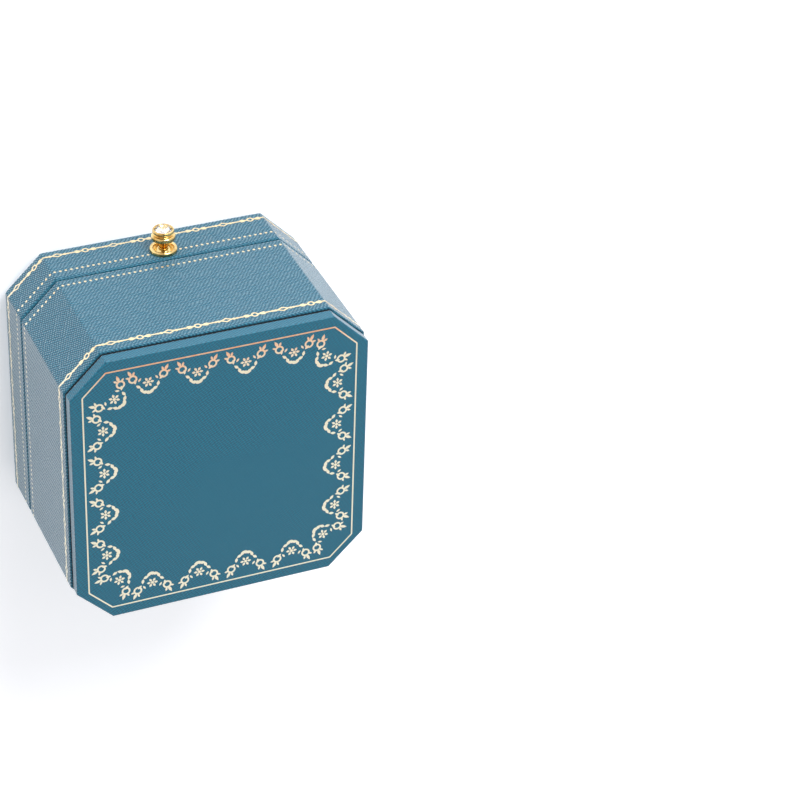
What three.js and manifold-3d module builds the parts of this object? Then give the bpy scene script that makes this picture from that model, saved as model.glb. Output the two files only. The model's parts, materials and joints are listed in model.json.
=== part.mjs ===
// A push-button ring box: an octagonal leatherette case with a shallow base, a deep lid on a
// spring hinge, and a brass button that frees the lid.
//
// Millimetres, +Z up. The origin is the centre of the felt that the box stands on. The button
// is at the front (-Y), the hinge at the back (+Y).
import * as THREE from "three";
import { mergeVertices } from "three/addons/utils/BufferGeometryUtils.js";
import Module from "manifold-3d";

// ---------------------------------------------------------------- driving dimensions

const width = 76; // across the side walls, and front to back
const cornerCut = 9.3; // leg of each clipped corner
const totalHeight = 54.8;
const seamHeight = 17.4; // middle of the gap between the base and the lid
const seamGap = 0.6;

const feltThickness = 0.4;
const panelThickness = 3.1; // the wrapped boards above and below the walls
const panelInset = 0.45; // from the outer faces of the walls
const panelRounding = 0.3; // of the lid panel's edges
const panelFootInset = 2.3; // the base panel's sides run in to this at its foot
const revealHeight = 0.5; // the dark groove between a panel and the walls
const revealDepth = 1.5; // from the outer face of the walls

const wrapThickness = 0.5; // leatherette
const coreThickness = 2.4; // moulded shells
const floorThickness = 2;
const linerThickness = 0.7;
const glueLine = 0.05; // between pieces that are glued face to face
const play = 0.1; // between pieces that only touch
const feltInset = 3.5;

const buttonDrop = 4.3; // button axis below the seam
const buttonTravel = 1.5;
const pinRadius = 0.7;
const knuckleRadius = 1.5;
const roundSides = 24; // facets of shafts and bores, so that both have their flats together

// ---------------------------------------------------------------- levels and faces

const half = width / 2;
const baseRim = seamHeight - seamGap / 2;
const lidRim = seamHeight + seamGap / 2;
const basePanelBottom = feltThickness + glueLine;
const basePanelTop = basePanelBottom + panelThickness;
const lidPanelBottom = totalHeight - panelThickness;
const baseWallBottom = basePanelTop + revealHeight;
const lidWallTop = lidPanelBottom - revealHeight;

const coreInset = wrapThickness + glueLine;
const cavityInset = coreInset + coreThickness;
const linerInset = cavityInset + glueLine + linerThickness;
const baseFloor = basePanelTop + glueLine + floorThickness;
const lidCeiling = lidPanelBottom - glueLine - floorThickness;
const baseCoreTop = baseRim - wrapThickness - glueLine;
const lidCoreBottom = lidRim + wrapThickness + glueLine;

const deckTop = 16.4; // velvet deck inside the base
const deckThickness = 1.4;
const deckOpening = { x: 46, y: 40, cut: 1.2 };
const trayWall = 1;
const latchSlot = 4.8; // half the width of the slot in the deck behind the button

const buttonHeight = seamHeight - buttonDrop;
const pivot = { y: half + play, z: seamHeight };

// ---------------------------------------------------------------- finishes

function finish(color, roughness, metalness = 0) {
  return new THREE.MeshStandardMaterial({ color, roughness, metalness });
}

const leatherette = finish(0x1f6478, 0.55);
const board = finish(0x9a9488, 0.9);
const moulding = finish(0x2b2b2e, 0.6);
const velvet = finish(0xe9e2d3, 0.95);
const satin = finish(0xf1ebdc, 0.45);
const felt = finish(0x23272b, 0.95);
const brass = finish(0xd9a93c, 0.25, 1);
const steel = finish(0xb9bcc0, 0.35, 1);
const crystal = finish(0xf4f7fb, 0.05);

// ---------------------------------------------------------------- solids

const wasm = await Module();
wasm.setup();

function toSolid(geometry) {
  const bare = geometry.clone();
  bare.deleteAttribute("normal");
  bare.deleteAttribute("uv");
  const merged = mergeVertices(bare, 1e-4);
  return new wasm.Manifold(
    new wasm.Mesh({
      numProp: 3,
      vertProperties: merged.getAttribute("position").array,
      triVerts: new Uint32Array(merged.index.array),
    }),
  );
}

function toGeometry(solid) {
  const mesh = solid.getMesh();
  const geometry = new THREE.BufferGeometry();
  geometry.setAttribute("position", new THREE.BufferAttribute(mesh.vertProperties, 3));
  geometry.setIndex(new THREE.BufferAttribute(mesh.triVerts, 1));
  geometry.computeVertexNormals();
  return geometry;
}

// One geometry from the first, with the others joined on.
function join(first, ...others) {
  return toGeometry(others.reduce((sum, other) => sum.add(toSolid(other)), toSolid(first)));
}

// One geometry from the first, with the others cut away.
function cut(first, ...others) {
  return toGeometry(others.reduce((rest, other) => rest.subtract(toSolid(other)), toSolid(first)));
}

// ---------------------------------------------------------------- shapes

// The outline of the box, moved in from the outer faces of the walls. Moving in shortens the
// clipped corners, because they stay at 45 degrees.
function outline(inset) {
  return clippedRectangle(width - 2 * inset, width - 2 * inset, cornerCut - inset * (2 - Math.SQRT2));
}

function clippedRectangle(sizeX, sizeY, leg) {
  const x = sizeX / 2;
  const y = sizeY / 2;
  return new THREE.Shape([
    new THREE.Vector2(x - leg, -y),
    new THREE.Vector2(x, leg - y),
    new THREE.Vector2(x, y - leg),
    new THREE.Vector2(x - leg, y),
    new THREE.Vector2(leg - x, y),
    new THREE.Vector2(-x, y - leg),
    new THREE.Vector2(-x, leg - y),
    new THREE.Vector2(leg - x, -y),
  ]);
}

// An outline raised from one level to another, its edges rounded where rounding is given.
function prism(shape, bottom, top, rounding = 0, steps = 3) {
  return new THREE.ExtrudeGeometry(shape, {
    depth: top - bottom - 2 * rounding,
    bevelEnabled: rounding > 0,
    bevelThickness: rounding,
    bevelSize: rounding,
    bevelOffset: -rounding,
    bevelSegments: steps,
  }).translate(0, 0, bottom + rounding);
}

// A slab whose straight sides run from one inset at the bottom to another at the top.
function taperedSlab(bottomInset, bottom, topInset, top) {
  const corners = (inset, z) => outline(inset).getPoints().map(({ x, y }) => [x, y, z]);
  return toGeometry(wasm.Manifold.hull([...corners(bottomInset, bottom), ...corners(topInset, top)]));
}

// A wall that follows the outline between two insets.
function wall(outerInset, innerInset, bottom, top) {
  const shape = outline(outerInset);
  shape.holes.push(new THREE.Path(outline(innerInset).getPoints()));
  return prism(shape, bottom, top);
}

function block(x0, x1, y0, y1, z0, z1) {
  return new THREE.BoxGeometry(x1 - x0, y1 - y0, z1 - z0).translate(
    (x0 + x1) / 2,
    (y0 + y1) / 2,
    (z0 + z1) / 2,
  );
}

// A profile of [radius, y] pairs turned about the line along Y at the given x and z.
function turned(profile, x, z, sides = roundSides) {
  const points = profile.map(([radius, y]) => new THREE.Vector2(radius, y));
  return new THREE.LatheGeometry(points, sides).translate(x, 0, z);
}

function rodAlongY(radius, y0, y1, x, z, sides = roundSides) {
  return turned([[0, y0], [radius, y0], [radius, y1], [0, y1]], x, z, sides);
}

// A rod on the hinge's axis.
function rodOnPivot(radius, x0, x1) {
  return new THREE.CylinderGeometry(radius, radius, x1 - x0, roundSides)
    .rotateZ(Math.PI / 2)
    .translate((x0 + x1) / 2, pivot.y, pivot.z);
}

// Round wire along a smooth line through points.
function wire(points, radius, steps) {
  const section = new THREE.Shape().absarc(0, 0, radius, 0, 2 * Math.PI);
  return new THREE.ExtrudeGeometry(section, {
    steps,
    curveSegments: 3,
    extrudePath: new THREE.CatmullRomCurve3(points, false, "centripetal"),
  });
}

// ---------------------------------------------------------------- the group

const ringBox = new THREE.Group();
const base = new THREE.Group();
const lid = new THREE.Group();
const button = new THREE.Group();
ringBox.add(base, lid, button);

function place(group, name, geometry, material) {
  const mesh = new THREE.Mesh(geometry, material);
  mesh.name = name;
  group.add(mesh);
}

function sideName(x) {
  return x < 0 ? "left" : "right";
}

// ---------------------------------------------------------------- hinge layout

// Knuckles along X. The base's are outermost, the lid's inside them, the spring between those.
const knuckleGap = 0.3;
const hingeEnd = 15;
const lidKnuckle = { from: 5, to: 9.8 };
const baseKnuckle = { from: lidKnuckle.to + knuckleGap, to: hingeEnd };
const leafThickness = 0.6;
const leafFace = half - coreInset - play / 2; // outer face of both leaves, under the leatherette
const leafReach = 10.5; // from the pivot to the far edge of a leaf
const leafRebate = {
  x: hingeEnd + 0.3,
  reach: leafReach + 0.3,
  face: leafFace - leafThickness - play / 2,
};
const barrelClearance = 0.3;
const notchEnd = hingeEnd + 0.9; // half the length of the notch in the rims for the barrel
const springWindow = { x: lidKnuckle.from - 0.1, reach: 6.5 };
const hingeRivet = { x: 11, reach: 7.5, shank: 0.8, head: 1.3, headDepth: 0.5 };

// side is +1 for what lies above the pivot and -1 for what lies below it
function hingeRivetSpots(side) {
  return [-hingeRivet.x, hingeRivet.x].map((x) => ({ x, z: pivot.z + side * hingeRivet.reach }));
}

// Cuts that both the moulded walls and the leatherette need round the barrel.
function barrelNotch() {
  return rodOnPivot(knuckleRadius + barrelClearance, -notchEnd, notchEnd);
}

// Cuts in a moulded back wall: the bed of the leaf and the rivet holes.
function leafBed(side) {
  const near = pivot.z;
  const far = pivot.z + side * leafRebate.reach;
  const bed = block(
    -leafRebate.x, leafRebate.x, leafRebate.face, half, Math.min(near, far), Math.max(near, far),
  );
  const holes = hingeRivetSpots(side).map((spot) =>
    rodAlongY(hingeRivet.shank + play / 2, half - cavityInset - 1, half, spot.x, spot.z),
  );
  return [bed, ...holes];
}

// A leaf with two knuckles. keepClear lists the x ranges that the other leaf's knuckles use.
function hingeLeaf(side, knuckle, keepClear) {
  const near = pivot.z + side * (seamGap / 2 + play);
  const far = pivot.z + side * leafReach;
  const back = leafFace - leafThickness;
  const plate = block(-hingeEnd, hingeEnd, back, leafFace, Math.min(near, far), Math.max(near, far));
  const barrels = [-1, 1].map((way) =>
    rodOnPivot(knuckleRadius, ...sorted(way * knuckle.from, way * knuckle.to)),
  );
  const window = block(
    -springWindow.x,
    springWindow.x,
    back - 1,
    leafFace + 1,
    ...sorted(pivot.z, pivot.z + side * springWindow.reach),
  );
  const clearances = keepClear.map(([x0, x1]) => rodOnPivot(knuckleRadius + barrelClearance, x0, x1));
  const rivetHoles = hingeRivetSpots(side).map((spot) =>
    turned(countersink(play / 2), spot.x, spot.z),
  );
  const bore = rodOnPivot(pinRadius + play, -hingeEnd - 1, hingeEnd + 1);
  const trimmed = cut(plate, window, ...clearances);
  return cut(join(trimmed, ...barrels), bore, ...rivetHoles);
}

function sorted(a, b) {
  return a < b ? [a, b] : [b, a];
}

// Profile of a flush rivet in the back wall, grown by a clearance where it is a cutting tool.
function countersink(extra) {
  const inner = half - cavityInset;
  const shoulder = leafFace - hingeRivet.headDepth;
  return [
    [0, inner - extra],
    [hingeRivet.shank + extra, inner - extra],
    [hingeRivet.shank + extra, shoulder],
    [hingeRivet.head + extra, leafFace],
    [hingeRivet.head + extra, leafFace + extra],
    [0, leafFace + extra],
  ];
}

// ---------------------------------------------------------------- latch layout

const innerFace = -(half - cavityInset); // inner face of the front wall
const strikePlate = { x: 6, from: 19.2, to: 26.5, thickness: 0.8 };
const strikeFace = innerFace + glueLine + linerThickness + glueLine;
const strikeBack = strikeFace + strikePlate.thickness;
const strikeLeg = { from: 2.1, to: 4.3, bottom: 9.4 };
const strikeWindow = { from: 2.7, to: 3.7, bottom: 10.5, top: 12.3 };
const strikeRivet = { x: 4.4, z: 23 };

const slidePlate = { x: 5, bottom: 9.8, top: 14.6, thickness: 1 };
const slideFront = strikeBack + 0.3;
const slideBack = slideFront + slidePlate.thickness;
const noseWidth = strikeWindow.to - strikeWindow.from - 0.4;
const noseMargin = 0.3;

const shaftRadius = 1.1;
const tailRadius = 0.8;
const nutThickness = 0.7;
const ferruleRadius = 1.6;
const flangeDepth = 1.05; // how far the flange's bead stands out from the wall

const housing = { x: 6.2, flange: 10.6, bottom: 9.8, top: 14.4, sheet: 0.8, back: -27.4 };
const housingRivet = { x: 8.8, z: 12.1 };
const latchRivet = { shank: 0.8, head: 1.4, headHeight: 0.5 };

// A domed-head rivet set from inside the box, flush with the outside of the moulded wall.
function wallRivet(x, z, seat) {
  const outside = -(half - coreInset);
  return turned(
    [
      [0, outside],
      [latchRivet.shank, outside],
      [latchRivet.shank, seat + play / 2],
      [latchRivet.head, seat + play / 2],
      [latchRivet.head * 0.7, seat + latchRivet.headHeight],
      [0, seat + latchRivet.headHeight],
    ],
    x,
    z,
    12,
  );
}

function wallRivetHoles(spots) {
  return spots.map(({ x, z }) =>
    rodAlongY(latchRivet.shank + play / 2, -half, innerFace + 3, x, z, 12),
  );
}

const strikeRivetSpots = [-1, 1].map((way) => ({ x: way * strikeRivet.x, z: strikeRivet.z }));
const housingRivetSpots = [-1, 1].map((way) => ({ x: way * housingRivet.x, z: housingRivet.z }));

// ---------------------------------------------------------------- wrapped panels

// Each slab is drawn in on every face by shrink, for the board and the hollow of its wrap.
function lidSlab(shrink) {
  const shape = outline(panelInset + shrink);
  return prism(shape, lidPanelBottom + shrink, totalHeight - shrink, panelRounding, 2);
}

function baseSlab(shrink) {
  const slope = (panelFootInset - panelInset) / panelThickness;
  const bottom = basePanelBottom + shrink;
  const top = basePanelTop - shrink;
  const insetAt = (z) => panelInset + slope * (basePanelTop - z) + shrink * Math.hypot(1, slope);
  return taperedSlab(insetAt(bottom), bottom, insetAt(top), top);
}

// Leatherette over a board: closed on its outer side and turned in on the side of the walls,
// between the levels of the mouth.
function panelWrap(slab, mouthBottom, mouthTop) {
  const turnIn = 6;
  return cut(slab(0), slab(wrapThickness), prism(outline(turnIn), mouthBottom, mouthTop));
}

function panelBoard(slab) {
  return slab(wrapThickness + glueLine);
}

// ---------------------------------------------------------------- shells

// A moulded shell: walls, one closed end, and a narrow plinth that makes the reveal.
function shell(rim, closedEnd, plinthEnd, cavityEnd) {
  const body = prism(outline(coreInset), ...sorted(rim, plinthEnd));
  const plinth = prism(outline(revealDepth), ...sorted(closedEnd, (plinthEnd + cavityEnd) / 2));
  const cavity = prism(outline(cavityInset), ...sorted(cavityEnd, rim + Math.sign(rim - closedEnd)));
  return cut(join(body, plinth), cavity);
}

function baseCore() {
  return cut(
    shell(baseCoreTop, basePanelTop + glueLine, baseWallBottom, baseFloor),
    rodAlongY(ferruleRadius + play, -half, innerFace + 1, 0, buttonHeight),
    barrelNotch(),
    ...leafBed(-1),
    ...wallRivetHoles(housingRivetSpots),
  );
}

function lidCore() {
  return cut(
    shell(lidCoreBottom, lidPanelBottom - glueLine, lidWallTop, lidCeiling),
    barrelNotch(),
    ...leafBed(1),
    ...wallRivetHoles(strikeRivetSpots),
  );
}

// Leatherette round the walls, turned over the rim at the seam.
function wallWrap(rim, far) {
  const inward = Math.sign(far - rim);
  const skin = wall(0, wrapThickness, ...sorted(rim, far));
  const lip = wall(0, cavityInset, ...sorted(rim, rim + inward * wrapThickness));
  return join(skin, lip);
}

// ---------------------------------------------------------------- base

function footFelt() {
  return prism(outline(feltInset), 0, feltThickness);
}

function deck() {
  const plate = prism(outline(cavityInset + 0.15), deckTop - deckThickness, deckTop);
  const { x, y, cut: leg } = deckOpening;
  const opening = prism(clippedRectangle(x, y, leg), baseFloor, baseRim);
  const slot = block(-latchSlot, latchSlot, -half, strikeBack + 0.5, baseFloor, baseRim);
  return cut(plate, opening, slot);
}

function cushionTray() {
  const { x, y, cut: leg } = deckOpening;
  const bottom = baseFloor + glueLine;
  const top = deckTop - deckThickness - glueLine;
  const outer = prism(clippedRectangle(x + 2 * trayWall, y + 2 * trayWall, leg + 0.6), bottom, top);
  const inner = prism(clippedRectangle(x, y, leg), bottom + trayWall, top + 1);
  return cut(outer, inner);
}

// One of the two velvet rolls that grip the ring: upright sides, a rounded top, soft ends.
// side is -1 for the roll at the front and +1 for the one at the back.
function cushionRoll(side) {
  const slot = 1.2;
  const clearance = 0.4;
  const softness = 1.5;
  const length = deckOpening.x - 2 * clearance;
  const thickness = deckOpening.y / 2 - clearance - slot / 2;
  const bottom = baseFloor + trayWall + 0.2;
  const shoulder = deckTop - 1.4;
  const crown = 5.6;
  const profile = new THREE.Shape();
  profile.moveTo(-thickness / 2, 0);
  profile.lineTo(thickness / 2, 0);
  profile.lineTo(thickness / 2, shoulder - bottom);
  profile.absellipse(0, shoulder - bottom, thickness / 2, crown, 0, Math.PI);
  const roll = new THREE.ExtrudeGeometry(profile, {
    depth: length - 2 * softness,
    bevelEnabled: true,
    bevelThickness: softness,
    bevelSize: softness,
    bevelOffset: -softness,
    bevelSegments: 2,
    curveSegments: 10,
  });
  roll.translate(0, 0, softness - length / 2);
  roll.rotateX(Math.PI / 2);
  roll.rotateZ(Math.PI / 2);
  return roll.translate(0, (side * (slot + thickness)) / 2, bottom);
}

function hingePin() {
  const headRadius = 1.1;
  const end = hingeEnd + 0.1;
  const headEnd = end + 0.5;
  return new THREE.LatheGeometry(
    [
      [0, -headEnd],
      [headRadius, -headEnd],
      [headRadius, -end],
      [pinRadius, -end],
      [pinRadius, end],
      [headRadius, end],
      [headRadius, headEnd],
      [0, headEnd],
    ].map(([radius, along]) => new THREE.Vector2(radius, along)),
    roundSides,
  )
    .rotateZ(-Math.PI / 2)
    .translate(0, pivot.y, pivot.z);
}

// Torsion spring round the pin. One leg bears up on the lid, the other down on the base.
function hingeSpring() {
  const wireRadius = 0.2;
  const coilRadius = pinRadius + wireRadius + 0.23;
  const end = 4.4;
  const turns = 6;
  const stepsPerTurn = 10;
  const legReach = 5;
  const points = [new THREE.Vector3(end, pivot.y - coilRadius, pivot.z + legReach)];
  for (let i = 0; i <= turns * stepsPerTurn; i++) {
    const angle = (i / stepsPerTurn) * 2 * Math.PI;
    const x = end - (2 * end * i) / (turns * stepsPerTurn);
    points.push(
      new THREE.Vector3(
        x,
        pivot.y - coilRadius * Math.cos(angle),
        pivot.z - coilRadius * Math.sin(angle),
      ),
    );
  }
  points.push(new THREE.Vector3(-end, pivot.y - coilRadius, pivot.z - legReach));
  return wire(points, wireRadius, turns * stepsPerTurn + 10);
}

// The flange and ferrule that the button slides in. Its inner end stops the latch plate.
function escutcheon() {
  const flange = 3.4;
  const bore = shaftRadius + play;
  const inner = slideFront - play;
  return turned(
    [
      [bore, inner],
      [bore, -half + 0.4],
      [1.9, -half - 0.15],
      [2.35, -half - 0.25],
      [2.5, -half - 0.8],
      [2.85, -half - flangeDepth],
      [3.2, -half - 0.85],
      [flange, -half - 0.4],
      [flange - 0.1, -half - glueLine],
      [ferruleRadius, -half - glueLine],
      [ferruleRadius, inner],
      [bore, inner],
    ],
    0,
    buttonHeight,
  );
}

// Bent sheet behind the front wall: two flanges, two arms, and a back that carries the spring.
function latchHousing() {
  const { x, flange, bottom, top, sheet, back } = housing;
  const seat = innerFace + glueLine;
  const arms = block(-x - sheet, x + sheet, seat, back, bottom, top);
  const feet = block(-flange, flange, seat, seat + sheet, bottom, top);
  const hollow = block(-x, x, seat - 1, back - sheet, bottom - 1, top + 1);
  const guide = rodAlongY(tailRadius + play, back - sheet - 1, back + 1, 0, buttonHeight);
  return cut(join(arms, feet), hollow, guide, ...wallRivetHoles(housingRivetSpots));
}

function buildBase() {
  place(base, "foot_felt", footFelt(), felt);
  const baseMiddle = (basePanelBottom + basePanelTop) / 2;
  place(base, "base_panel_wrap", panelWrap(baseSlab, baseMiddle, basePanelTop + play), leatherette);
  place(base, "base_panel_board", panelBoard(baseSlab), board);
  place(base, "base_core", baseCore(), moulding);
  const buttonHole = rodAlongY(ferruleRadius + play, -half - 1, innerFace, 0, buttonHeight);
  const walls = cut(wallWrap(baseRim, baseWallBottom), buttonHole, barrelNotch());
  place(base, "base_wall_wrap", walls, leatherette);
  place(base, "cushion_tray", cushionTray(), board);
  place(base, "velvet_deck", deck(), velvet);
  place(base, "ring_cushion_front", cushionRoll(-1), velvet);
  place(base, "ring_cushion_back", cushionRoll(1), velvet);
  place(base, "button_escutcheon", escutcheon(), brass);
  place(base, "latch_housing", latchHousing(), steel);
  const seat = innerFace + glueLine + housing.sheet;
  housingRivetSpots.forEach(({ x, z }) => {
    place(base, "housing_rivet_" + sideName(x), wallRivet(x, z, seat), brass);
  });
  const lidKnuckles = [-1, 1].map((way) =>
    sorted(way * (lidKnuckle.from - knuckleGap), way * (lidKnuckle.to + knuckleGap)),
  );
  place(base, "hinge_leaf_base", hingeLeaf(-1, baseKnuckle, lidKnuckles), brass);
  place(base, "button_spring", buttonSpring(), steel);
  place(base, "hinge_pin", hingePin(), steel);
  place(base, "hinge_spring", hingeSpring(), steel);
  hingeRivetSpots(-1).forEach(({ x, z }) => {
    place(base, "hinge_rivet_base_" + sideName(x), turned(countersink(0), x, z), brass);
  });
}

// ---------------------------------------------------------------- lid

function lidLiner() {
  const tube = wall(cavityInset + glueLine, linerInset, lidCoreBottom, lidCeiling - glueLine);
  return cut(tube, ...wallRivetHoles(strikeRivetSpots));
}

function lidPillow() {
  const thickness = 5;
  const softness = 2;
  const top = lidCeiling - glueLine;
  return prism(outline(linerInset + play), top - thickness, top, softness);
}

// A plate inside the lid with two legs that reach down past the button's shaft. Each leg has a
// window for one nose of the latch plate.
function lidStrike() {
  const { x, from, to } = strikePlate;
  const plate = block(-x, x, strikeFace, strikeBack, from, to);
  const legs = [-1, 1].map((way) =>
    block(
      ...sorted(way * strikeLeg.from, way * strikeLeg.to),
      strikeFace,
      strikeBack,
      strikeLeg.bottom,
      from + 1,
    ),
  );
  const windows = [-1, 1].map((way) =>
    block(
      ...sorted(way * strikeWindow.from, way * strikeWindow.to),
      strikeFace - 1,
      strikeBack + 1,
      strikeWindow.bottom,
      strikeWindow.top,
    ),
  );
  return cut(join(plate, ...legs), ...windows, ...wallRivetHoles(strikeRivetSpots));
}

function buildLid() {
  const lidMiddle = (lidPanelBottom + totalHeight) / 2;
  place(lid, "lid_panel_wrap", panelWrap(lidSlab, lidPanelBottom - play, lidMiddle), leatherette);
  place(lid, "lid_panel_board", panelBoard(lidSlab), board);
  place(lid, "lid_core", lidCore(), moulding);
  place(lid, "lid_wall_wrap", cut(wallWrap(lidRim, lidWallTop), barrelNotch()), leatherette);
  place(lid, "lid_liner", lidLiner(), satin);
  place(lid, "lid_pillow", lidPillow(), satin);
  place(lid, "lid_strike", lidStrike(), steel);
  strikeRivetSpots.forEach(({ x, z }) => {
    place(lid, "strike_rivet_" + sideName(x), wallRivet(x, z, strikeBack), brass);
  });
  const baseKnuckles = [-1, 1].map((way) =>
    sorted(way * (baseKnuckle.from - knuckleGap), way * (baseKnuckle.to + knuckleGap)),
  );
  place(lid, "hinge_leaf_lid", hingeLeaf(1, lidKnuckle, baseKnuckles), brass);
  hingeRivetSpots(1).forEach(({ x, z }) => {
    place(lid, "hinge_rivet_lid_" + sideName(x), turned(countersink(0), x, z), brass);
  });
}

// ---------------------------------------------------------------- button

// The knob's head stands off the flange by a little more than the button travels.
const headBack = -half - flangeDepth - buttonTravel - 0.35;
const head = { back: headBack, front: headBack - 3.3, radius: 3, bezel: 2.65, seat: 2.2 };
const seatDepth = 1.2;

// Head with a groove round it, a shaft, and a thinner tail for the latch plate and the spring.
function buttonKnob() {
  const tailEnd = housing.back + 0.4;
  return turned(
    [
      [0, head.front + seatDepth],
      [head.seat * 0.4, head.front + seatDepth],
      [head.seat, head.front + 0.2],
      [head.seat + 0.1, head.front],
      [head.bezel - 0.15, head.front + 0.1],
      [head.bezel, head.front + 0.5],
      [head.bezel, head.front + 1],
      [head.bezel - 0.2, head.front + 1.25],
      [head.bezel - 0.2, head.front + 1.5],
      [head.radius, head.front + 1.8],
      [head.radius, head.front + 2.5],
      [head.radius - 0.5, head.back - 0.2],
      [shaftRadius + 0.35, head.back],
      [shaftRadius, head.back + 0.3],
      [shaftRadius, slideFront - play / 2],
      [tailRadius, slideFront - play / 2],
      [tailRadius, tailEnd],
      [0, tailEnd],
    ],
    0,
    buttonHeight,
  );
}

// A round brilliant: pavilion in the head's seat, girdle, and crown standing out of it.
function buttonCrystal() {
  const girdle = head.front + 0.15;
  const radius = head.seat - play;
  return turned(
    [
      [0, girdle - 0.75],
      [radius * 0.55, girdle - 0.75],
      [radius, girdle - 0.15],
      [radius, girdle],
      [radius * 0.33, girdle + 0.9],
      [0, girdle + 0.9],
    ],
    0,
    buttonHeight,
  );
}

// The plate on the button's tail, with two noses that reach through the strike's legs.
function latchPlate() {
  const { x, bottom, top } = slidePlate;
  const plate = block(-x, x, slideFront, slideBack, bottom, top);
  const middle = (strikeWindow.from + strikeWindow.to) / 2;
  const noses = [-middle, middle].map((at) =>
    block(
      at - noseWidth / 2,
      at + noseWidth / 2,
      strikeFace + play,
      slideFront + 0.5,
      strikeWindow.bottom + noseMargin,
      strikeWindow.top - noseMargin,
    ),
  );
  const hole = rodAlongY(tailRadius + play / 2, slideFront - 1, slideBack + 1, 0, buttonHeight);
  return cut(join(plate, ...noses), hole);
}

function latchNut() {
  const front = slideBack + play / 2;
  const ring = rodAlongY(1.5, front, front + nutThickness, 0, buttonHeight, 6);
  return cut(ring, rodAlongY(tailRadius + play / 2, front - 1, front + 2, 0, buttonHeight));
}

// Return spring on the tail, between the nut and the back of the housing.
function buttonSpring() {
  const wireRadius = 0.2;
  const coilRadius = 1.25;
  const turns = 4;
  const stepsPerTurn = 12;
  const from = slideBack + nutThickness + play + wireRadius;
  const to = housing.back - housing.sheet - play - wireRadius;
  const points = [];
  for (let i = 0; i <= turns * stepsPerTurn; i++) {
    const angle = (i / stepsPerTurn) * 2 * Math.PI;
    points.push(
      new THREE.Vector3(
        coilRadius * Math.sin(angle),
        from + ((to - from) * i) / (turns * stepsPerTurn),
        buttonHeight + coilRadius * Math.cos(angle),
      ),
    );
  }
  return wire(points, wireRadius, turns * stepsPerTurn);
}

function buildButton() {
  place(button, "button_knob", buttonKnob(), brass);
  place(button, "button_crystal", buttonCrystal(), crystal);
  place(button, "latch_plate", latchPlate(), steel);
  place(button, "latch_nut", latchNut(), brass);
}

buildBase();
buildLid();
buildButton();

export default ringBox;
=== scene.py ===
"""Looks of the push-button ring box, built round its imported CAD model.

Lengths are millimetres until a mesh is made. +Z is up, the button is at the front (-Y).
"""

import json
import math

import bmesh
import bpy
from mathutils import Matrix, Vector


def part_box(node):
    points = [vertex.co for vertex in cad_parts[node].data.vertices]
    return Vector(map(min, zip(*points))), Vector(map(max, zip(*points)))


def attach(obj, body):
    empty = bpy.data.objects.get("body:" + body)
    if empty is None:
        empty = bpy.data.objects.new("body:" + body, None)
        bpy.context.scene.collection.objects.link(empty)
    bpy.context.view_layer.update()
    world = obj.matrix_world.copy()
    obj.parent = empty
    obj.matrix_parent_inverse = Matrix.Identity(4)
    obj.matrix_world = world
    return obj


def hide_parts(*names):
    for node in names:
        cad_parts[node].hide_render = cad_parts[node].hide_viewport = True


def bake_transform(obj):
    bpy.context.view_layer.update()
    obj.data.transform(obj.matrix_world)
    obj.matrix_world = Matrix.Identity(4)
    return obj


MM = 0.001

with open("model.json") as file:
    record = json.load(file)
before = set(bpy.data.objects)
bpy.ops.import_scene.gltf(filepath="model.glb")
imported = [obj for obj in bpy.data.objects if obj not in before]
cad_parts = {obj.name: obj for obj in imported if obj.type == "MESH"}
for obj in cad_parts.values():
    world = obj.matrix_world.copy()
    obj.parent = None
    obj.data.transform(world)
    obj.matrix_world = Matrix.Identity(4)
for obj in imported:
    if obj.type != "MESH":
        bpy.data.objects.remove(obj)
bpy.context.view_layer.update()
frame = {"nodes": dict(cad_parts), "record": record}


# ---------------------------------------------------------------- dimensions from the CAD

def extent(node):
    """The lowest and highest corner of a CAD node, in millimetres."""
    low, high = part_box(node)
    return low / MM, high / MM


BASE_FOOT, BASE_RIM = (corner.z for corner in extent("base_wall_wrap"))
LID_RIM, LID_TOP = (corner.z for corner in extent("lid_wall_wrap"))
BASE_PANEL = [corner.z for corner in extent("base_panel_wrap")]
LID_PANEL = [corner.z for corner in extent("lid_panel_wrap")]
HALF = extent("lid_wall_wrap")[1].x  # from the axis to the outer face of a wall
PANEL_INSET = HALF - extent("lid_panel_wrap")[1].x
SEAM = (BASE_RIM + LID_RIM) / 2

CORNER_CUT = 9.3  # leg of each clipped corner
WRAP = 0.5  # thickness of the leatherette
LIP = 2.95  # how far the leatherette turns in over a rim
TURN_IN = 6.0  # how far it turns in behind a panel
GLUE = 0.05
CORNER_ROUNDING = 0.8
RIM_ROUNDING = 0.6
PANEL_ROUNDING = 0.3
PANEL_FOOT_INSET = 2.3  # the base panel's bevelled side runs in to this
PANEL_CAP = 8.0  # a panel's flat face is closed by one polygon from here inwards
SHARP_ANGLE = 32  # edges that turn by more degrees than this are shaded sharp

BUTTON_Z = 13.1
BARREL = Vector((0, HALF + 0.1, SEAM))  # middle of the hinge pin


# ---------------------------------------------------------------- outlines

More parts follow.
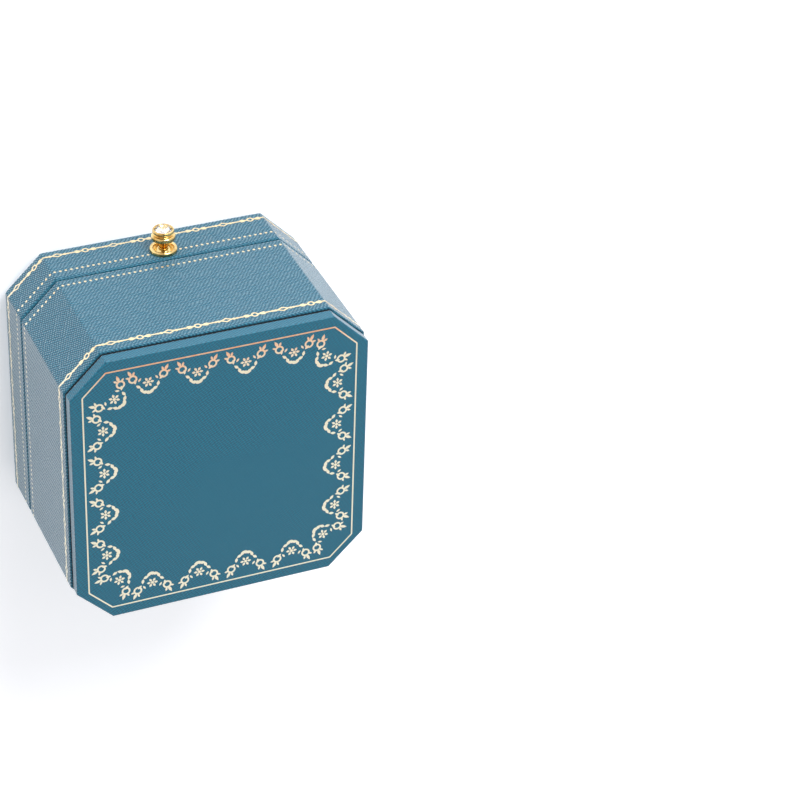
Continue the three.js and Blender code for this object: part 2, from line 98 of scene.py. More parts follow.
def rounded(points, radii, steps=5, closed=True, margin=0.0):
    """A line of 2-D points with its corners rounded.

    A margin adds a point just before and just after each rounded corner, so that the
    shading of the corner doesn't run out over the flats beside it.
    """
    points = [Vector(point) for point in points]
    line = []
    for i, corner in enumerate(points):
        radius = radii[i] if isinstance(radii, (list, tuple)) else radii
        at_end = not closed and i in (0, len(points) - 1)
        if radius <= 0 or at_end:
            line.append(corner)
            continue
        before = points[i - 1] - corner
        after = points[(i + 1) % len(points)] - corner
        half_angle = before.angle(after) / 2
        reach = radius / math.tan(half_angle)
        before.normalize()
        after.normalize()
        centre = corner + (before + after).normalized() * radius / math.sin(half_angle)
        start = corner + before * reach - centre
        end = corner + after * reach - centre
        turn = start.angle(end)
        if margin:
            line.append(corner + before * (reach + margin))
        for step in range(steps + 1):
            share = step / steps
            blend = start * math.sin((1 - share) * turn) + end * math.sin(share * turn)
            line.append(centre + blend / math.sin(turn))
        if margin:
            line.append(corner + after * (reach + margin))
    return line


def clipped_rectangle(half_x, half_y, leg):
    """Corner points, anticlockwise, of a rectangle with its corners clipped at 45 degrees."""
    return [
        (half_x, leg - half_y),
        (half_x, half_y - leg),
        (half_x - leg, half_y),
        (leg - half_x, half_y),
        (-half_x, half_y - leg),
        (-half_x, leg - half_y),
        (leg - half_x, -half_y),
        (half_x - leg, -half_y),
    ]


def outline(inset, leg=None):
    """Corner points of the box's own outline, moved in from the faces of its walls."""
    if leg is None:
        leg = CORNER_CUT - inset * (2 - math.sqrt(2))
    return clipped_rectangle(HALF - inset, HALF - inset, leg)


def ring_round_box(inset, z):
    """Points round the box at one inset and height, with softened corners."""
    radius = max(CORNER_ROUNDING - inset, 0.1)
    return [(x, y, z) for x, y in rounded(outline(inset), radius, margin=0.4)]


# ---------------------------------------------------------------- meshes

def make_piece(name, points, faces, uvs=None, sharp=SHARP_ANGLE):
    """A mesh object from points in millimetres. uvs holds one list of pairs for each face."""
    mesh = bpy.data.meshes.new(name)
    mesh.from_pydata([Vector(point) * MM for point in points], [], faces)
    if uvs:
        layer = mesh.uv_layers.new(name="UVMap")
        flat = [pair for face in uvs for pair in face]
        for corner, pair in zip(layer.data, flat):
            corner.uv = pair
    work = bmesh.new()
    work.from_mesh(mesh)
    bmesh.ops.remove_doubles(work, verts=work.verts, dist=1e-7)
    bmesh.ops.recalc_face_normals(work, faces=work.faces)
    work.to_mesh(mesh)
    work.free()
    mesh.shade_smooth()
    mesh.set_sharp_from_angle(angle=math.radians(sharp))
    piece = bpy.data.objects.new(name, mesh)
    bpy.context.scene.collection.objects.link(piece)
    return piece


def running_lengths(points, closed):
    """Distance along a line to each of its points, and to its end if it is closed."""
    points = [Vector(point) for point in points]
    if closed:
        points.append(points[0])
    lengths = [0.0]
    for a, b in zip(points, points[1:]):
        lengths.append(lengths[-1] + (b - a).length)
    return lengths


def loft(name, rings, closed=False, sharp=SHARP_ANGLE):
    """A skin over rings of equally many points, closed on itself or capped at both ends.

    Its UV map is in millimetres: steep faces are unrolled along the ring, with the height
    as V, and flat ones are seen from above.
    """
    count = len(rings[0])
    along = running_lengths(max(rings, key=lambda ring: running_lengths(ring, True)[-1]), True)
    up = running_lengths([ring[0] for ring in rings], closed)
    points = [point for ring in rings for point in ring]
    faces, uvs = [], []
    for j in range(len(rings) if closed else len(rings) - 1):
        k = (j + 1) % len(rings)
        rise = abs(rings[k][0][2] - rings[j][0][2])
        is_steep = rise > 0.5 * (up[j + 1] - up[j])
        for i in range(count):
            n = (i + 1) % count
            corners = [(j, i), (j, n), (k, n), (k, i)]
            faces.append([ring * count + at for ring, at in corners])
            if is_steep:
                near, far = rings[j][0][2], rings[k][0][2]
                left, right = along[i], along[i + 1]
                uvs.append([(left, near), (right, near), (right, far), (left, far)])
            else:
                uvs.append([rings[ring][at][:2] for ring, at in corners])
    if not closed:
        for ring in (0, len(rings) - 1):
            faces.append([ring * count + i for i in range(count)])
            uvs.append([point[:2] for point in rings[ring]])
    return make_piece(name, points, faces, uvs, sharp)


def sweep_round_box(name, profile, closed):
    """Carries a profile of (inset, height) pairs round the box."""
    return loft(name, [ring_round_box(inset, z) for inset, z in profile], closed)


def turned(name, profile, axis, centre, closed=False, sharp=SHARP_ANGLE):
    """A profile of (radius, distance along the axis) pairs turned about X or Y."""
    sides = 72
    rings = []
    for radius, along in profile:
        ring = []
        for i in range(sides):
            angle = 2 * math.pi * i / sides
            a, b = radius * math.cos(angle), radius * math.sin(angle)
            offset = (along, a, b) if axis == "X" else (a, along, b)
            ring.append(Vector(centre) + Vector(offset))
        rings.append(ring)
    points = [point for ring in rings for point in ring]
    faces = []
    for j in range(len(rings) if closed else len(rings) - 1):
        k = (j + 1) % len(rings)
        for i in range(sides):
            n = (i + 1) % sides
            faces.append([j * sides + i, j * sides + n, k * sides + n, k * sides + i])
    return make_piece(name, points, faces, sharp=sharp)


def tube(name, path, radius):
    """Round wire along a line of points, closed at its ends."""
    sides = 10
    path = [Vector(point) for point in path]
    heading = (path[1] - path[0]).normalized()
    across = heading.orthogonal().normalized()
    points, faces = [], []
    for i, at in enumerate(path):
        ahead = (path[min(i + 1, len(path) - 1)] - path[max(i - 1, 0)]).normalized()
        across = heading.rotation_difference(ahead) @ across
        heading = ahead
        side = heading.cross(across).normalized()
        for k in range(sides):
            angle = 2 * math.pi * k / sides
            points.append(at + (across * math.cos(angle) + side * math.sin(angle)) * radius)
    for i in range(len(path) - 1):
        for k in range(sides):
            n = (k + 1) % sides
            a, b = i * sides, (i + 1) * sides
            faces.append([a + k, a + n, b + n, b + k])
    faces.append(list(range(sides)))
    faces.append([(len(path) - 1) * sides + k for k in range(sides)])
    return make_piece(name, points, faces, sharp=50)


def settle(piece):
    """Replaces a piece's mesh with the one its modifiers make."""
    graph = bpy.context.evaluated_depsgraph_get()
    graph.update()
    mesh = bpy.data.meshes.new_from_object(
        piece.evaluated_get(graph), preserve_all_data_layers=True, depsgraph=graph
    )
    piece.modifiers.clear()
    piece.data = mesh


def carve(piece, *cutters):
    """Cuts the cutters out of a piece and removes them."""
    for cutter in cutters:
        modifier = piece.modifiers.new("carve", "BOOLEAN")
        modifier.operation = "DIFFERENCE"
        modifier.solver = "EXACT"
        modifier.object = cutter
    settle(piece)
    for cutter in cutters:
        bpy.data.objects.remove(cutter)
    piece.data.set_sharp_from_angle(angle=math.radians(SHARP_ANGLE))
    return piece


# ---------------------------------------------------------------- shader nodes

def new_material(name, **values):
    """A material, its tree and its Principled node, with plain values on the node's sockets."""
    material = bpy.data.materials.new(name)
    material.use_nodes = True
    surface = material.node_tree.nodes["Principled BSDF"]
    for key, value in values.items():
        surface.inputs[key.replace("_", " ")].default_value = value
    return material, material.node_tree, surface


def feed(tree, socket, value):
    """Links an output to a socket, or sets a plain value on it."""
    if isinstance(value, bpy.types.NodeSocket):
        tree.links.new(value, socket)
    else:
        socket.default_value = value


def maths(tree, operation, *values):
    node = tree.nodes.new("ShaderNodeMath")
    node.operation = operation
    for socket, value in zip(node.inputs, values):
        feed(tree, socket, value)
    return node.outputs[0]


def vector_maths(tree, operation, a, b):
    node = tree.nodes.new("ShaderNodeVectorMath")
    node.operation = operation
    feed(tree, node.inputs[0], a)
    feed(tree, node.inputs[1], b)
    return node.outputs["Value" if operation == "DOT_PRODUCT" else "Vector"]


def millimetres(tree):
    """The object's own coordinates, in millimetres."""
    coordinates = tree.nodes.new("ShaderNodeTexCoord").outputs["Object"]
    return vector_maths(tree, "MULTIPLY", coordinates, (1 / MM,) * 3)


def noise(tree, position, scale, detail=2.0, roughness=0.5):
    node = tree.nodes.new("ShaderNodeTexNoise")
    feed(tree, node.inputs["Vector"], position)
    node.inputs["Scale"].default_value = scale
    node.inputs["Detail"].default_value = detail
    node.inputs["Roughness"].default_value = roughness
    return node.outputs["Fac"]


def ramp(tree, value, stops):
    """A colour or grey ramp. stops holds (position, colour) pairs."""
    node = tree.nodes.new("ShaderNodeValToRGB")
    feed(tree, node.inputs["Fac"], value)
    while len(node.color_ramp.elements) < len(stops):
        node.color_ramp.elements.new(0.5)
    for element, (position, colour) in zip(node.color_ramp.elements, stops):
        element.position = position
        element.color = (*colour, 1)
    return node.outputs["Color"]


def rescale(tree, value, low, high):
    """Maps 0 to 1 onto low to high."""
    node = tree.nodes.new("ShaderNodeMapRange")
    feed(tree, node.inputs["Value"], value)
    node.inputs["To Min"].default_value = low
    node.inputs["To Max"].default_value = high
    return node.outputs["Result"]


def bump(tree, surface, height, distance, strength=1.0):
    """Relief on a surface. distance is the height of the relief in millimetres."""
    node = tree.nodes.new("ShaderNodeBump")
    node.inputs["Strength"].default_value = strength
    node.inputs["Distance"].default_value = distance * MM
    tree.links.new(height, node.inputs["Height"])
    tree.links.new(node.outputs["Normal"], surface.inputs["Normal"])


def stripes(tree, position, angle, pitch, wobble):
    """Rounded ridges, 0 to 1, that run across the given direction."""
    turn = math.radians(angle)
    step = (2 * math.pi * math.cos(turn) / pitch, 2 * math.pi * math.sin(turn) / pitch, 0)
    phase = maths(tree, "ADD", vector_maths(tree, "DOT_PRODUCT", position, step), wobble)
    return maths(tree, "MULTIPLY_ADD", maths(tree, "SINE", phase), 0.5, 0.5)


# ---------------------------------------------------------------- materials

GRAIN = 0.62  # pitch of the crossed grain pressed into the leatherette


def leatherette(name, angle, relief, spread, dull, bright):
    """Coated sheet with a crossed grain: long fine ridges one way, broken by shorter ones.

    The long ridges run across angle. relief is in millimetres, spread is the part of the
    grain's height that the shades take up, and dull and bright are the roughness in the
    hollows and on the ridges.
    """
    material, tree, surface = new_material(
        name, IOR=1.44, Specular_IOR_Level=0.5, Sheen_Weight=1.0,
        Sheen_Roughness=0.28, Sheen_Tint=(0.96, 0.97, 1.0, 1),
    )
    position = tree.nodes.new("ShaderNodeUVMap").outputs["UV"]
    wobble = maths(tree, "MULTIPLY", noise(tree, position, 0.35), 9.0)
    long_ridges = stripes(tree, position, angle, GRAIN, wobble)
    short_ridges = stripes(tree, position, angle - 90, GRAIN * 1.25, wobble)
    crossed = maths(tree, "MULTIPLY", long_ridges, rescale(tree, short_ridges, 0.35, 1.0))
    specks = noise(tree, position, 1.9, 3.0, 0.65)
    height = maths(tree, "MULTIPLY_ADD", specks, 0.6, maths(tree, "MULTIPLY", crossed, 0.8))
    shade = ramp(tree, height, [
        (0.55 - spread / 2, (0.002, 0.036, 0.072)),
        (0.55, (0.004, 0.098, 0.158)),
        (0.55 + spread / 2, (0.022, 0.185, 0.270)),
    ])
    tree.links.new(shade, surface.inputs["Base Color"])
    tree.links.new(rescale(tree, height, dull, bright), surface.inputs["Roughness"])
    bump(tree, surface, height, relief, 0.9)
    return material


def gold_foil(name, painted_front_reflection):
    """Hot-stamped foil: pale gold, with a painted reflection that tints it warmer towards the front
    of the box.
    """
    material, tree, surface = new_material(name, Metallic=1.0)
    position = millimetres(tree)
    depth = tree.nodes.new("ShaderNodeSeparateXYZ")
    tree.links.new(position, depth.inputs[0])
    mottling = noise(tree, position, 0.9, 3.0)
    along = maths(tree, "MULTIPLY_ADD", mottling, 8.0, depth.outputs["Y"])
    share = maths(tree, "DIVIDE", maths(tree, "ADD", along, HALF), HALF)
    # painted reflection: the first stop tints the foil warmer towards the front (-Y), standing in
    # for what the foil mirrors there
    colour = ramp(tree, share, [
        (0.14, painted_front_reflection),
        (0.36, (1.00, 0.88, 0.66)),
        (1.00, (1.00, 0.92, 0.72)),
    ])
    tree.links.new(colour, surface.inputs["Base Color"])
    tree.links.new(rescale(tree, mottling, 0.30, 0.45), surface.inputs["Roughness"])
    bump(tree, surface, noise(tree, position, 3.0, 2.0), 0.01, 0.3)
    return material


def polished_metal(name, dark, light, roughness):
    """Bright metal with faint polishing marks and cloudy patches of random tone; on the brass the
    deep brown of the dark patches is partly painted reflection of dark surroundings.
    """
    material, tree, surface = new_material(name, Metallic=1.0)
    position = millimetres(tree)
    clouds = noise(tree, position, 0.5, 4.0)
    marks = noise(tree, vector_maths(tree, "MULTIPLY", position, (1.0, 9.0, 1.0)), 3.0, 3.0)
    # partly painted reflection: on the brass the dark brown end of this ramp stands in for dark
    # surroundings that polished brass mirrors
    tree.links.new(ramp(tree, clouds, [(0.3, dark), (0.7, light)]), surface.inputs["Base Color"])
    tree.links.new(rescale(tree, marks, roughness, roughness + 0.14), surface.inputs["Roughness"])
    bump(tree, surface, marks, 0.01, 0.25)
    return material


def velvet():
    """Short dense pile, brushed one way in places."""
    material, tree, surface = new_material(
        "velvet", Roughness=0.95, Specular_IOR_Level=0.1, Sheen_Weight=0.9,
        Sheen_Roughness=0.35, Sheen_Tint=(1.0, 0.98, 0.94, 1),
    )
    position = millimetres(tree)
    pile = noise(tree, position, 5.5, 2.0, 0.7)
    brushed = noise(tree, position, 0.12, 2.0)
    mixed = maths(tree, "MULTIPLY_ADD", brushed, 0.35, maths(tree, "MULTIPLY", pile, 0.85))
    colour = ramp(tree, mixed, [
        (0.35, (0.46, 0.40, 0.30)),
        (0.60, (0.64, 0.57, 0.45)),
        (0.85, (0.78, 0.72, 0.60)),
    ])
    tree.links.new(colour, surface.inputs["Base Color"])
    bump(tree, surface, pile, 0.12, 0.7)
    return material


def satin():
    """Fine plain weave with a soft gloss and slow ripples."""
    material, tree, surface = new_material(
        "satin", Specular_IOR_Level=0.55, Sheen_Weight=0.3, Sheen_Roughness=0.3,
    )
    position = millimetres(tree)
    drift = maths(tree, "MULTIPLY", noise(tree, position, 0.2), 3.0)
    warp = stripes(tree, position, 0, 0.24, drift)
    weft = stripes(tree, vector_maths(tree, "MULTIPLY", position, (0, 1, 1)), 90, 0.24, drift)
    threads = maths(tree, "ADD", warp, maths(tree, "MULTIPLY", weft, 0.5))
    slow = noise(tree, position, 0.15, 3.0)
    colour = ramp(tree, slow, [(0.2, (0.62, 0.57, 0.46)), (0.8, (0.70, 0.65, 0.55))])
    tree.links.new(colour, surface.inputs["Base Color"])
    tree.links.new(rescale(tree, slow, 0.32, 0.5), surface.inputs["Roughness"])
    bump(tree, surface, threads, 0.03, 0.5)
    return material


def fibrous(name, dark, light, scale, relief):
    """Matted fibres: felt and greyboard."""
    material, tree, surface = new_material(name, Roughness=0.95, Specular_IOR_Level=0.15)
    position = millimetres(tree)
    strands = noise(tree, vector_maths(tree, "MULTIPLY", position, (1, 0.35, 1)), scale, 4.0, 0.7)
    colour = ramp(tree, strands, [(0.3, dark), (0.7, light)])
    tree.links.new(colour, surface.inputs["Base Color"])
    bump(tree, surface, strands, relief, 0.8)
    return material


def moulding():
    """Black moulded plastic with a spark-eroded texture."""
    material, tree, surface = new_material("moulding", Specular_IOR_Level=0.4)
    position = millimetres(tree)
    texture = noise(tree, position, 4.0, 3.0, 0.6)
    colour = ramp(tree, texture, [(0.3, (0.012, 0.013, 0.015)), (0.7, (0.03, 0.031, 0.034))])
    tree.links.new(colour, surface.inputs["Base Color"])
    tree.links.new(rescale(tree, texture, 0.5, 0.75), surface.inputs["Roughness"])
    bump(tree, surface, texture, 0.03, 0.6)
    return material


def crystal_glass():
    """Cut lead glass, clear with a trace of violet in its depth."""
    material, tree, surface = new_material(
        "crystal_glass", Transmission_Weight=1.0, Roughness=0.0, IOR=1.7,
    )
    tint = ramp(tree, noise(tree, millimetres(tree), 0.6), [
        (0.3, (0.93, 0.93, 1.0)), (0.7, (1.0, 1.0, 1.0)),
    ])
    tree.links.new(tint, surface.inputs["Base Color"])
    return material


def crystal_backing():
    """Mirror foil behind the stone, with dark violet patches on some facets that are a painted
    reflection of dark surroundings.
    """
    material, tree, surface = new_material("crystal_backing", Metallic=1.0, Roughness=0.04)
    facets = noise(tree, millimetres(tree), 0.75, 0.0)
    # painted reflection: the dark violet end of the ramp stands in for dark things mirrored in the
    # facets
    tint = ramp(tree, facets, [(0.46, (0.10, 0.09, 0.20)), (0.56, (0.95, 0.95, 1.0))])
    tree.links.new(tint, surface.inputs["Base Color"])
    return material


MATERIALS = {
    "wall_leatherette": leatherette(
        "wall_leatherette", angle=52, relief=0.17, spread=0.68, dull=0.58, bright=0.32,
    ),
    "panel_leatherette": leatherette(
        "panel_leatherette", angle=-60, relief=0.07, spread=1.1, dull=0.48, bright=0.22,
    ),
    # each foil's front tint is a painted reflection, not the foil's own colour
    "wall_foil": gold_foil("wall_foil", painted_front_reflection=(0.98, 0.78, 0.50)),
    "lid_foil": gold_foil("lid_foil", painted_front_reflection=(1.00, 0.42, 0.20)),
    "velvet": velvet(),
    "satin": satin(),
    "felt": fibrous(
        "felt", dark=(0.012, 0.014, 0.017), light=(0.045, 0.05, 0.057), scale=4.0, relief=0.15,
    ),
    "board": fibrous(
        "board", dark=(0.22, 0.20, 0.17), light=(0.38, 0.36, 0.31), scale=2.0, relief=0.05,
    ),
    "moulding": moulding(),
    # the brass's dark tone is partly a painted dark reflection
    "brass": polished_metal(
        "brass", dark=(0.50, 0.27, 0.06), light=(1.0, 0.78, 0.36), roughness=0.04,
    ),
    "steel": polished_metal(
        "steel", dark=(0.50, 0.51, 0.53), light=(0.66, 0.67, 0.69), roughness=0.24,
    ),
    "crystal_glass": crystal_glass(),
    "crystal_backing": crystal_backing(),
}


def dress(piece, material, body):
    """Gives a new piece its material and slot, and lets it ride on its body.

    body is None for a piece that is blended between two bodies instead.
    """
    piece.data.materials.clear()
    piece.data.materials.append(MATERIALS[material])
    if body:
        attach(piece, body)
    return piece


# ---------------------------------------------------------------- leatherette

def barrel_clearance():
    """Cutter for the notch in a rim that the hinge's barrel lies in."""
    radius, end = 1.8, 15.9
    profile = [(0, -end), (radius, -end), (radius, end), (0, end)]
    return turned("cutter", profile, "X", BARREL)


def wall_profile(rim, far):
    """Section of the leatherette round a wall, turned in over the rim at the seam."""
    toward = math.copysign(1, far - rim)
    corners = [
        (LIP, rim + toward * WRAP),
        (LIP, rim),
        (0, rim),
        (0, far),
        (WRAP, far),
        (WRAP, rim + toward * WRAP),
    ]
    radii = [0, 0.3, RIM_ROUNDING, 0.35, 0, 0]
    return rounded(corners, radii, margin=0.15)


def wall_wrap(body, rim, far, *cutters):
    name = body + "_wall_leather"
    piece = sweep_round_box(name, wall_profile(rim, far), closed=True)
    carve(piece, barrel_clearance(), *cutters)
    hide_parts(body + "_wall_wrap")
    return dress(piece, "wall_leatherette", body)


def panel_wrap(body, inner, outer, outer_inset):
    """Leatherette over a board, from the level at the walls to the level outside.

    Its side runs from PANEL_INSET at the walls to outer_inset at the outside.
    """
    toward = math.copysign(1, outer - inner)
    slope = (outer_inset - PANEL_INSET) / abs(outer - inner)
    sideways = PANEL_INSET + WRAP * math.hypot(1, slope)
    corners = [
        (PANEL_CAP, outer),
        (outer_inset, outer),
        (PANEL_INSET, inner),
        (TURN_IN, inner),
        (TURN_IN, inner + toward * WRAP),
        (sideways + slope * WRAP, inner + toward * WRAP),
        (sideways + outer_inset - PANEL_INSET - slope * WRAP, outer - toward * WRAP),
        (PANEL_CAP, outer - toward * WRAP),
    ]
    radii = [0, PANEL_ROUNDING, PANEL_ROUNDING, 0, 0, 0.15, 0.15, 0]
    profile = rounded(corners, radii, closed=False, margin=0.15)
    piece = sweep_round_box(body + "_panel_leather", profile, closed=False)
    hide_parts(body + "_panel_wrap")
    return dress(piece, "panel_leatherette", body)


# ---------------------------------------------------------------- gold foil

FOIL = 0.03  # how far the lowest layer of foil stands proud
FOIL_ROOT = 0.03  # how far the foil reaches into the leatherette
FOIL_STEP = 0.005  # from one layer to the next, so that overlapping shapes share no face
FILL_LAYERS = 4  # filled shapes take layers 0 to 3 in turn
STROKE_LAYER = 4
BAR_LAYER = 5
BORDER_WIDTH = 0.36
RING_WIDTH = 0.46
BORDER_INSET = 3.5
BORDER_CUT = 5.8
CHAIN_HEIGHT = {"lid": SEAM + 30.75, "base": SEAM - 10.9}
DOTS_HEIGHT = {"lid": SEAM + 2.9, "base": SEAM - 3.6}


class Stamp:
    """Collects flat foil shapes as thin closed solids on the faces of the box.

    place(u, v, height) turns a point of the flat drawing into a point on the box. It may be
    changed between shapes, to go on to the next face.
    """

    def __init__(self, place=None):
        self.place = place
        self.fills = 0
        self.points = []
        self.faces = []

    def fill(self, shape, layer=None):
        """Adds one filled shape, given as its outline, in its turn or on a layer of its own."""
        count, first = len(shape), len(self.points)
        if layer is None:
            layer = self.fills % FILL_LAYERS
            self.fills += 1
        for height in (FOIL + FOIL_STEP * layer, -FOIL_ROOT):
            self.points += [self.place(u, v, height) for u, v in shape]
        top = list(range(first, first + count))
        bottom = list(range(first + count, first + 2 * count))
        self.faces += [top, bottom[::-1]]
        self.faces += [[top[i], bottom[i], bottom[i - 1], top[i - 1]] for i in range(count)]

    def stroke(self, path, width):
        """Adds a closed line of the given width."""
        outer, inner = offset_loop(path, width / 2), offset_loop(path, -width / 2)
        count, first = len(path), len(self.points)
        top = FOIL + FOIL_STEP * STROKE_LAYER
        rounds = ((outer, top), (inner, top), (inner, -FOIL_ROOT), (outer, -FOIL_ROOT))
        for loop, height in rounds:
            self.points += [self.place(u, v, height) for u, v in loop]
        for k in range(4):
            a, b = first + k * count, first + (k + 1) % 4 * count
            self.faces += [[a + i, a + i - 1, b + i - 1, b + i] for i in range(1, count)]
            self.faces.append([a, a + count - 1, b + count - 1, b])

    def finish(self, name, material, body):
        piece = make_piece(name, self.points, self.faces, sharp=40)
        return dress(piece, material, body)


def offset_loop(path, distance):
    """A closed 2-D line moved to its right by a distance."""
    moved = []
    for i, at in enumerate(path):
        at, before, after = Vector(at), Vector(path[i - 1]), Vector(path[(i + 1) % len(path)])
        ahead = ((at - before).normalized() + (after - at).normalized()).normalized()
        bend = max(ahead.dot((after - at).normalized()), 0.5)
        moved.append(at + Vector((ahead.y, -ahead.x)) * distance / bend)
    return moved


def round_shape(u, v, radius, sides):
    """A regular polygon about (u, v)."""
    angles = [2 * math.pi * i / sides for i in range(sides)]
    return [(u + radius * math.cos(angle), v + radius * math.sin(angle)) for angle in angles]


def leaf_shape(u, v, length, width, angle):
    """A pointed oval about (u, v)."""
    steps = 5
    edge = []
    for side in (1, -1):
        for i in range(steps):
            share = i / steps
            across = side * width / 2 * math.sin(math.pi * share)
            edge.append((side * length * (0.5 - share), across))
    cos, sin = math.cos(angle), math.sin(angle)
    return [(u + a * cos - b * sin, v + a * sin + b * cos) for a, b in edge]


def garland_shapes():
    """One garland: (filled shapes, rings). u runs along the border, v towards the middle."""
    reach, hang, drop = 3.25, 3.2, 3.6
    filled, rings = [], []
    leaves = 9
    for i in range(leaves):
        share = 2 * i / (leaves - 1) - 1
        slope = math.atan2(-2 * drop * share / reach, 1)
        size = 1.85 - 0.5 * abs(share)
        tilt = math.radians(20 if i % 2 else -20)
        at = (reach * share, hang + drop * (1 - share * share))
        filled.append(leaf_shape(*at, size, size * 0.52, slope + tilt))
    for side in (-1, 1):
        rings.append(round_shape(side * 3.8, 2.35, 0.92, 16))
        filled.append(leaf_shape(side * 4.5, 0.8, 2.1, 0.8, math.radians(-side * 62)))
        filled.append(leaf_shape(side * 3.6, 0.85, 1.2, 0.6, math.radians(side * 70)))
        filled.append(leaf_shape(side * 5.05, 1.85, 1.1, 0.55, math.radians(-side * 15)))
        filled.append(leaf_shape(side * 2.1, 2.9, 1.2, 0.55, math.radians(side * 55)))
    petals, petal_reach, heart = 6, 0.92, 3.9
    for i in range(petals):
        angle = 2 * math.pi * i / petals
        at = (petal_reach * math.cos(angle), heart + petal_reach * math.sin(angle))
        filled.append(leaf_shape(*at, 1.05, 0.66, angle))
    filled.append(round_shape(0, heart, 0.4, 10))
    return filled, rings


def on_lid(u, v, height):
    """place() for the top of the lid."""
    return (u, v, LID_PANEL[1] + height)


def lid_border():
    """The line round the top of the lid."""
    stamp = Stamp(on_lid)
    path = rounded(outline(BORDER_INSET, BORDER_CUT), 0.3, steps=2)
    stamp.stroke(path, BORDER_WIDTH)
    return stamp.finish("lid_border_line", "lid_foil", "lid")


def laid(shape, angle, line, along):
    """A flat drawing placed on the lid.

    u runs along a line that faces out at the angle, at the distance line from the middle,
    and v runs from it towards the middle. along is where u starts.
    """
    out = Vector((math.cos(angle), math.sin(angle)))
    tangent = Vector((-out.y, out.x))
    return [out * (line - v) + tangent * (along + u) for u, v in shape]


def lid_garlands():
    """Four garlands along each side of the lid and one across each corner."""
    pitch, gap, corner_gap = 12.2, 0.9, 2.1
    side_line = HALF - BORDER_INSET - gap
    corner_line = (2 * (HALF - BORDER_INSET) - BORDER_CUT) / math.sqrt(2) - gap - corner_gap
    places = []
    for quarter in range(4):
        angle = quarter * math.pi / 2
        places += [(angle, side_line, pitch * (k - 1.5)) for k in range(4)]
        places.append((angle + math.pi / 4, corner_line, 0))
    filled, rings = garland_shapes()
    stamp = Stamp(on_lid)
    for place in places:
        for shape in filled:
            stamp.fill(laid(shape, *place))
        for ring in rings:
            stamp.stroke(laid(ring, *place), RING_WIDTH)
    return stamp.finish("lid_garlands", "lid_foil", "lid")


def walls():
    """(first corner, direction, length, outward normal) of each of the eight walls."""
    points = [Vector(point) for point in outline(0)]
    found = []
    for start, end in zip(points, points[1:] + points[:1]):
        way = (end - start).normalized()
        found.append((start, way, (end - start).length, Vector((way.y, -way.x))))
    return found


def on_wall(start, way, normal):
    """place() for a wall: u runs along it and v is the height above the foot."""
    def place(u, v, height):
        return (*(start + way * u + normal * height), v)

    return place


def is_under_flange(point):
    """Whether a point of the base's outline is where the button's flange covers the wall."""
    reach = extent("button_escutcheon")[1].x + 0.4
    return point.y < 0 and abs(point.x) < reach


def dotted_row(body):
    """A row of dots round the box, left out under the flange."""
    z = DOTS_HEIGHT[body]
    pitch, radius = 1.4, 0.34
    row = Stamp()
    for start, way, length, normal in walls():
        row.place = on_wall(start, way, normal)
        count = round(length / pitch)
        for k in range(count):
            u = (k + 0.5) * length / count
            if body == "lid" or not is_under_flange(start + way * u):
                row.fill(round_shape(u, z, radius, 10))
    return row.finish(f"{body}_dotted_row", "wall_foil", body)


def chain_row(body):
    """Rings and lozenges in turn round the box, joined by bars with leaves and dots on them."""
    z = CHAIN_HEIGHT[body]
    period, half_bar, stroke = 6.8, 0.23, 0.4
    ring_reach, lozenge_reach, lozenge_rise = 0.72, 1.3, 0.7
    row = Stamp()
    for start, way, length, normal in walls():
        row.place = on_wall(start, way, normal)
        count = round(length / period)
        ends = [0.0]
        for k in range(count):
            u = (k + 0.5) * length / count
            if k % 2:
                reach = lozenge_reach
                top, bottom = (u, z + lozenge_rise), (u, z - lozenge_rise)
                row.stroke([(u - reach, z), top, (u + reach, z), bottom], stroke)
                for along, radius in ((1.9, 0.42), (2.7, 0.34)):
                    row.fill(round_shape(u + along, z, radius, 10))
                    row.fill(round_shape(u - along, z, radius, 10))
            else:
                reach = ring_reach
                row.stroke(round_shape(u, z, reach, 14), stroke)
                for side in (-1, 1):
                    at = u + side * 1.9
                    row.fill(leaf_shape(at, z + 0.26, 1.7, 0.6, side * 0.3))
                    row.fill(leaf_shape(at, z - 0.26, 1.7, 0.6, -side * 0.3))
            ends += [u - reach, u + reach]
        ends.append(length)
        low, high = z - half_bar, z + half_bar
        for begin, end in zip(ends[::2], ends[1::2]):
            row.fill([(begin, low), (end, low), (end, high), (begin, high)], BAR_LAYER)
    return row.finish(f"{body}_chain", "wall_foil", body)


# ---------------------------------------------------------------- button

def escutcheon():
    """Round flange with a bead at its rim and a raised boss in its dish, and its ferrule."""
    inner, outer = extent("button_escutcheon")[1].y, -HALF
    corners = [
        (1.2, inner),
        (1.2, outer - 0.75),
        (1.5, outer - 0.75),
        (2.25, outer - 0.12),
        (2.6, outer - 0.12),
        (2.6, outer - 1.15),
        (3.45, outer - 1.15),
        (3.45, outer - GLUE),
        (1.6, outer - GLUE),
        (1.6, inner),
    ]
    radii = [0.0, 0.1, 0.15, 0.15, 0.12, 0.36, 0.45, 0.25, 0.0, 0.0]
    profile = rounded(corners, radii, steps=6)
    piece = turned("button_flange", profile, "Y", (0, 0, BUTTON_Z), closed=True, sharp=45)
    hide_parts("button_escutcheon")
    return dress(piece, "brass", "base")


